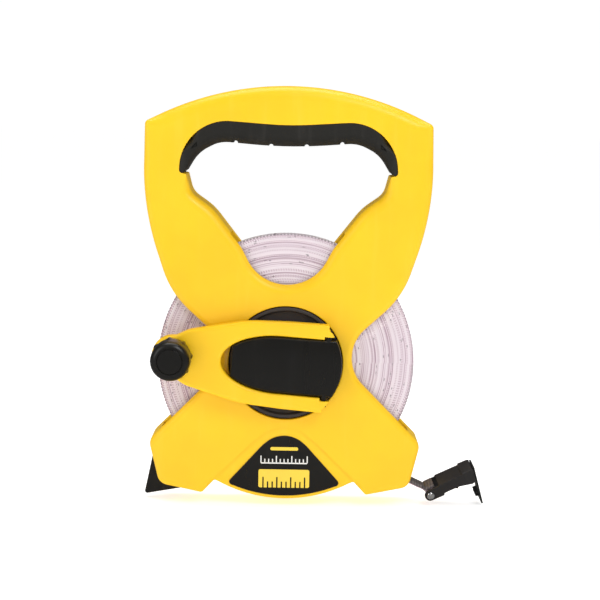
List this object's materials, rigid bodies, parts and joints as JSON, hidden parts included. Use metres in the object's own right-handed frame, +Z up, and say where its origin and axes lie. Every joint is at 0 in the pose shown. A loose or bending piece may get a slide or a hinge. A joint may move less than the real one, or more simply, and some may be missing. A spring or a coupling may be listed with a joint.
{
  "type": "open reel long tape measure",
  "caption": "Open-frame surveyor's tape reel: X-shaped case with a hand grip, coiled ribbon tape, forked folding crank with a knob, ground spike and a folding end hook.",
  "frame": {"origin": "middle of the hand grip, where the hand carries the reel", "axes": "+Z up, towards the top of the arched handle; -Y is the front with the crank and knob; +X is the side where the tape comes out"},
  "size_m": [0.2234, 0.067, 0.2707],
  "materials": {
    "yellow_plastic": "satin moulded ABS",
    "grip_rubber": "soft matt rubber",
    "black_plastic": "satin moulded plastic",
    "black_metal": "blackened steel plate",
    "label_film": "printed film",
    "steel": "plain zinc-plated steel",
    "rivet_metal": "bright rivet",
    "tape_ribbon": "coated glass-fibre ribbon",
    "strap": "reinforced black strap"
  },
  "bodies": {
    "frame": {"front_shell": "yellow_plastic", "back_shell": "yellow_plastic", "handle_grip": "grip_rubber", "ground_spike": "black_metal", "label_plate": "label_film", "case_screws": "steel", "axle_bolt": "steel", "axle_clip": "steel", "tape_guide_pin": "steel", "mouth_guide": "black_plastic", "tape_run": "tape_ribbon"},
    "reel": {"reel_drum": "black_plastic", "hub_cover": "black_plastic", "hub_screws": "steel", "tape_anchor": "steel", "tape_coil": "tape_ribbon", "hinge_pin": "black_metal"},
    "crank": {"crank_arm": "yellow_plastic", "knob_stud": "steel", "knob_clip": "steel"},
    "knob": {"knob": "black_plastic", "knob_cap": "black_plastic"},
    "tape_end": {"tape_tongue": "tape_ribbon", "end_strap": "strap", "hook_rivet": "rivet_metal"},
    "hook": {"hook_body": "black_plastic", "claw_plate": "black_metal"}
  },
  "joints": [
    {"name": "reel_spin", "type": "hinge", "parent": "frame", "child": "reel", "pos_m": [0, 0, -0.1448], "axis": [0, 1, 0], "continuous": true},
    {"name": "crank_fold", "type": "hinge", "parent": "reel", "child": "crank", "pos_m": [0.02594, -0.024, -0.14661], "axis": [0.0698, 0, 0.9976], "range_deg": [0, 180]},
    {"name": "knob_spin", "type": "hinge", "parent": "crank", "child": "knob", "pos_m": [-0.07182, -0.04, -0.13978], "axis": [0, 1, 0], "continuous": true},
    {"name": "tape_pull", "type": "slide", "parent": "frame", "child": "tape_end", "axis": [0.9063, 0, -0.4226], "range_m": [0, 0.024]},
    {"name": "hook_swing", "type": "hinge", "parent": "tape_end", "child": "hook", "pos_m": [0.0953, -0.0035, -0.22996], "axis": [-0.106, 0.9703, 0.2174], "range_deg": [-45, 105]}
  ]
}
